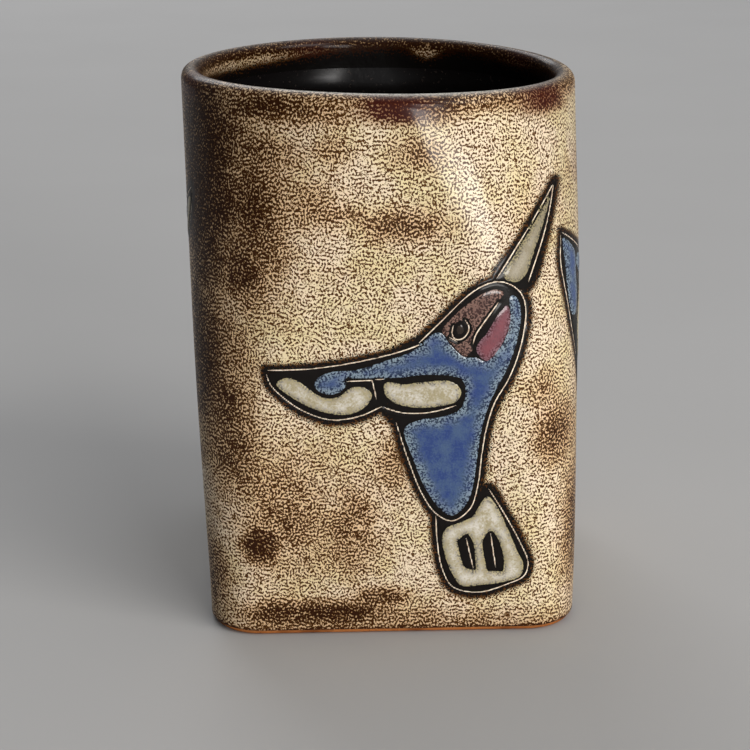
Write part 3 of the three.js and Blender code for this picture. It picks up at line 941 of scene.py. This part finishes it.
def add_liner():
    """The black glaze inside: down the wall, round a soft bottom corner and over the floor."""
    top = HEIGHT - RIM_INSIDE + LINER_LAP
    bottom = FLOOR + GAP
    floor = bottom + GLAZE
    bend = LINER_BEND
    inside_wall = [(z, float(inner_inset(z)) + 0.02) for z in steps(top, floor + bend, LINER_GRID)]
    wall_foot = inside_wall[-1][1]
    for angle in np.linspace(0, math.pi / 2, 7)[1:]:
        up = bend - bend * math.sin(angle)
        inside_wall.append((floor + up, wall_foot + bend - bend * math.cos(angle)))
    inside_wall.append((floor, wall_foot + bend + 3))
    outside_wall = [(bottom, WALL + bend)]
    outside_wall += [(z, WALL - GLAZE) for z in steps(bottom, top, 2 * LINER_GRID)]
    add_sweep("liner_glaze", outside_wall + inside_wall, liner_material, looped=False)


# ------------ the birds' pieces

# Heights are out of the wall's surface; negative is into the wall.
SLIP_REACH = 1.5  # the slip goes on this far outside the bird's outer line
SLIP_RISE = 0.03  # height of the slip,
SLIP_EDGE = -0.16  # of its outer edge, tucked under the glaze, from which it rises over
SLIP_SLOPE = 0.9  # this width,
SLIP_BOTTOM = -0.42  # and of its back
GROOVE = 0.14  # depth of the groove of a scratched line,
GROOVE_WIDE = 0.24  # and half its width
POOL_EDGE = -0.14  # height of a pool's edge,
POOL_BOTTOM = -0.3  # and of its back
POOL_ROUND = 0.5  # how far in from its edge a pool is full
STROKE_HALF_WIDE = 0.2  # pools end this far from the middle of a scratched line
RIBBON_HALF_WIDE = 0.165
RIBBON_UNEVEN = 0.16  # share by which its width wanders,
RIBBON_WANDER = 5  # from one of this many points to the next
RIBBON_TIP = 0.25  # share of its width at its ends,
RIBBON_TAPER = 3  # reached over this many points

# Section of the ribbon of clay in a scratched line: (half widths across, height).
RIBBON_SECTION = [(-1.0, -0.10), (-0.55, -0.055), (0.55, -0.055), (1.0, -0.10), (0.9, -0.25), (-0.9, -0.25)]


def stroke_distance(bird, spots):
    """Distance of each spot to the bird's nearest scratched line."""
    return np.min([distance(spots, stroke, False) for stroke in strokes_of(bird)], axis=0)


def add_slip(bird):
    """The black slip: a fine grid that lies flush in the wall, with a groove along each stroke."""
    lines = np.concatenate(silhouette_lines(bird))
    low, high = lines.min(0) - 2, lines.max(0) + 2
    right, up = np.meshgrid(np.arange(low[0], high[0], FINE), np.arange(low[1], high[1], FINE))
    spots = np.stack([right.ravel(), up.ravel()], -1)
    depth = depth_in_bird(bird, spots)
    keep = (depth > -SLIP_REACH).reshape(right.shape)
    cell = keep[:-1, :-1] & keep[1:, :-1] & keep[:-1, 1:] & keep[1:, 1:]
    number = np.arange(keep.size).reshape(keep.shape)
    corners = np.stack([number[:-1, :-1], number[:-1, 1:], number[1:, 1:], number[1:, :-1]], -1)[cell]
    used, faces = np.unique(corners, return_inverse=True)
    spots, depth = spots[used], depth[used]
    rise = SLIP_EDGE + (SLIP_RISE - SLIP_EDGE) * np.clip((depth + SLIP_REACH) / SLIP_SLOPE, 0, 1)
    rise -= GROOVE * np.exp(-(stroke_distance(bird, spots) / GROOVE_WIDE) ** 2)
    clean = np.zeros(len(used))
    marks = {
        "edge": depth, "stain_and_shade": clean, "rust": clean, "lip": clean, "inner": clean + NOWHERE_NEAR,
    }
    add_shell(bird, "slip", spots, faces.reshape(-1, 4), rise, SLIP_BOTTOM, slip_material,
              marks)


def add_shell(bird, part, spots, faces, rise, bottom, material, marks):
    """A closed thin piece on the wall, from heights of its top and its flat back and faces of its top."""
    count = len(spots)
    top = on_wall(bird, spots, -rise)
    base = on_wall(bird, spots, -bottom)
    edges = [(int(a), int(b)) for face in faces for a, b in zip(face, np.roll(face, -1))]
    known = set(edges)
    solid = [tuple(int(i) for i in face) for face in faces]
    solid += [tuple(int(i) + count for i in face[::-1]) for face in faces]
    solid += [(b, a, a + count, b + count) for a, b in edges if (b, a) not in known]
    doubled = {mark: np.concatenate([values, values]) for mark, values in marks.items()}
    name = f"{bird['face']}_{part}"
    add_mesh(name, np.concatenate([top, base]), solid, material, [name], marks=doubled)


def triangle_grid(low, high, size):
    """Spots in rows between two corners, every second row shifted by half a step."""
    spots = []
    for k, up in enumerate(np.arange(low[1], high[1], size * math.sqrt(3) / 2)):
        shift = size / 2 * (k % 2)
        spots += [(right, up) for right in np.arange(low[0] + shift, high[0], size)]
    return np.array(spots)


def filled(rim, cuts):
    """Triangles that fill a closed line, less the cuts: their corners, and faces as corner numbers."""
    spots = triangle_grid(rim.min(0), rim.max(0), POOL_GRID)
    free = depth_in(spots, rim)
    for cut in cuts:
        free = np.minimum(free, -depth_in(spots, cut))
    edges = []
    start = 0
    for loop in [rim] + cuts:
        edges += [(start + i, start + (i + 1) % len(loop)) for i in range(len(loop))]
        start += len(loop)
    every = np.concatenate([rim] + cuts + [spots[free > POOL_GRID * 0.45]])
    flat, _, faces, *_ = delaunay_2d_cdt([Vector(spot) for spot in every.tolist()], edges, [], 0, 1e-5)
    flat = np.array([list(spot) for spot in flat])
    faces = np.array(faces)
    middle = flat[faces].mean(1)
    keep = inside(middle, rim)
    for cut in cuts:
        keep &= ~inside(middle, cut)
    used, faces = np.unique(faces[keep], return_inverse=True)
    return flat[used], faces.reshape(-1, 3)


def add_pool(bird, part, shape, material, slot, holes=(), dome=0.16, spread=0.3):
    """A glaze pool: a filled outline, spread a little by the firing and domed, on top of the slip."""
    rim = grown(place(bird, smooth(shape, step=POOL_GRID)), spread)
    cuts = [place(bird, smooth(hole, step=POOL_GRID)) for hole in holes]
    spots, faces = filled(rim, cuts)
    depth = np.min([distance(spots, line, True) for line in [rim] + cuts], axis=0)
    depth = np.minimum(depth, stroke_distance(bird, spots) - STROKE_HALF_WIDE)
    swell = 1 - np.exp(-np.clip(depth + 0.15, 0, None) / POOL_ROUND)
    rise = POOL_EDGE + (dome - POOL_EDGE) * swell
    add_shell(bird, part, spots, faces, rise, POOL_BOTTOM, material, {"edge": depth})


def stroke_rings(bird, line, random):
    """The section of a scratched line's ribbon at each point of its line, tapered and a little uneven."""
    along = np.gradient(line, axis=0)
    along /= np.linalg.norm(along, axis=1, keepdims=True) + 1e-9
    side = np.stack([-along[:, 1], along[:, 0]], -1)
    count = len(line)
    share = np.linspace(0, 1, count)
    taper = np.clip(np.minimum(share, 1 - share) * count / RIBBON_TAPER, RIBBON_TIP, 1)
    marks = np.arange(0, count + RIBBON_WANDER + 1, RIBBON_WANDER)
    uneven = 1 + RIBBON_UNEVEN * np.interp(share * count, marks, random.uniform(-1, 1, len(marks)))
    width = RIBBON_HALF_WIDE * taper * uneven
    rings = []
    for across, height in RIBBON_SECTION:
        spots = line + side * (width * across)[:, None]
        rings.append(on_wall(bird, spots, -height))
    return np.stack(rings, 1)


def ribbon_faces(start, count):
    """Faces of a ribbon of that many rings, whose first point has the number start."""
    size = len(RIBBON_SECTION)
    faces = []
    for i in range(count - 1):
        for k in range(size):
            a = start + i * size + k
            b = start + i * size + (k + 1) % size
            faces.append((a, a + size, b + size, b))
    faces.append(tuple(start + k for k in range(size)))
    faces.append(tuple(start + (count - 1) * size + k for k in reversed(range(size))))
    return faces


def add_strokes(bird):
    """The scratched lines: thin ribbons of bare clay in the bottom of their grooves."""
    random = np.random.default_rng(7 + bird["side"])
    points = []
    faces = []
    for line in strokes_of(bird, step=0.4):
        rings = stroke_rings(bird, line, random)
        faces += ribbon_faces(len(points), len(line))
        points += rings.reshape(-1, 3).tolist()
    add_mesh(f"{bird['face']}_scratched_lines", points, faces, line_material, [])


def add_wing_pools(bird):
    """The two pools of the wing. The broad wing's outer one is blue."""
    if bird["broad"]:
        add_pool(bird, "wing_tip_glaze", BLUE_BROAD_TIP, blue_material, "blue_glaze")
        add_pool(bird, "wing_root_glaze", CREAM_BROAD_ROOT, cream_material, "cream_glaze")
    else:
        add_pool(bird, "wing_tip_glaze", CREAM_WING_TIP, cream_material, "cream_glaze")
        add_pool(bird, "wing_root_glaze", CREAM_WING_ROOT, cream_material, "cream_glaze")


def add_bird(bird):
    """One engraved bird: its slip, its glaze pools and its scratched lines."""
    add_slip(bird)
    add_wing_pools(bird)
    add_pool(bird, "body_glaze", BLUE_POOL, blue_material, "blue_glaze")
    add_pool(bird, "beak_glaze", CREAM_BEAK, beak_material, "cream_glaze")
    add_pool(bird, "tail_glaze", CREAM_TAIL, cream_material, "cream_glaze", holes=TAIL_SLOTS)
    flat = {"dome": 0.12, "spread": 0}
    add_pool(bird, "crown_glaze", PLUM_CROWN, plum_material, "plum_glaze", holes=[DARK_EYE], **flat)
    add_pool(bird, "cheek_glaze", RED_CHEEK, red_material, "red_glaze", **flat)
    add_pool(bird, "eye_glaze", DARK_EYE, eye_material, "olive_glaze", dome=0.14, spread=0)
    add_strokes(bird)


# ------------ floor, lights and camera

CAMERA_FAR = 405.0  # from the vase's axis at AIM_UP
CAMERA_RISE = 17.0  # degrees above the level
CAMERA_ROUND = -2.8  # degrees round from straight in front
AIM_UP = 55.0
LOOK_DOWN = 18.4  # degrees
LOOK_LEFT = 0.39  # degrees away from the vase's axis
LENS = 87.5


def add_camera():
    """The camera in front of the vase, a little to its left and above it."""
    camera = bpy.data.objects.new("camera", bpy.data.cameras.new("camera"))
    rise, turn = math.radians(CAMERA_RISE), math.radians(CAMERA_ROUND)
    level = CAMERA_FAR * math.cos(rise)
    camera.location = Vector((
        level * math.sin(turn), -level * math.cos(turn), AIM_UP + CAMERA_FAR * math.sin(rise),
    )) * MM
    tilt = math.radians(90 - LOOK_DOWN)
    camera.rotation_euler = (tilt, 0, turn + math.radians(LOOK_LEFT))
    camera.data.lens = LENS
    camera.data.sensor_width = 36
    camera.data.clip_start = 0.01
    bpy.context.scene.collection.objects.link(camera)
    bpy.context.scene.camera = camera


def add_light(name, place_m, size, watts, tint):
    """A flat lamp that faces the middle of the vase. Its place and size are in metres."""
    light = bpy.data.lights.new(name, "AREA")
    light.shape = "RECTANGLE"
    light.size, light.size_y = size
    light.energy = watts
    light.color = tint
    lamp = bpy.data.objects.new(name, light)
    lamp.location = place_m
    aim = Vector((0, 0, HEIGHT * MM / 2)) - Vector(place_m)
    lamp.rotation_euler = aim.to_track_quat("-Z", "Y").to_euler()
    bpy.context.scene.collection.objects.link(lamp)
    return lamp


# Area lamps: name, place in metres, size in metres, watts, colour.
LAMPS = [
    ("key", (1.24, -1.0, 1.2), (1.0, 1.0), 16.0, (1.0, 0.97, 0.93)),
    ("window", (1.0, -2.25, 0.6), (0.75, 1.0), 19.8, (1.0, 0.98, 0.96)),
    ("top", (0.5, 0.3, 2.4), (3.5, 3.5), 22.5, (0.97, 0.98, 1.0)),
    ("back", (-0.5, 1.9, 1.4), (1.2, 1.2), 17.0, (0.97, 0.98, 1.0)),
]
LOW_LAMP = ("low_front", (0.14, -0.30, 0.064), (0.16, 0.046), 0.55, (1.0, 0.98, 0.95))
SKY = (0.8, 0.83, 0.86, 1.0)
SKY_STRENGTH = 0.14
FLOOR_REACH = 4.0  # metres
FLOOR_CORNERS = 64


def add_floor():
    """A wide, round, pale floor."""
    mesh = bpy.data.meshes.new("floor")
    angles = [TAU * i / FLOOR_CORNERS for i in range(FLOOR_CORNERS)]
    corners = [(FLOOR_REACH * math.cos(angle), FLOOR_REACH * math.sin(angle), 0) for angle in angles]
    mesh.from_pydata(corners, [], [tuple(range(FLOOR_CORNERS))])
    paint = Paint("pale_floor")
    tint = paint.mix(paint.noise(0.01), colour("BCBBBA"), colour("B7B6B5"))
    mesh.materials.append(paint.finish(tint, 0.8))
    floor = bpy.data.objects.new("floor", mesh)
    bpy.context.scene.collection.objects.link(floor)


def add_lights():
    """Soft light from the upper right, weak light from all round, and a small low lamp that gives the
    glaze its sheen and shines on the vase only."""
    for lamp in LAMPS:
        add_light(*lamp)
    add_light(*LOW_LAMP).light_linking.receiver_collection = vase
    world = bpy.data.worlds.new("studio")
    world.use_nodes = True
    background = world.node_tree.nodes["Background"]
    background.inputs["Color"].default_value = SKY
    background.inputs["Strength"].default_value = SKY_STRENGTH
    bpy.context.scene.world = world
    bpy.context.scene.view_settings.view_transform = "Standard"


# ------------ the scene

add_camera()
add_floor()
add_lights()
add_skin()
add_clay()
add_liner()
for bird in BIRDS:
    add_bird(bird)
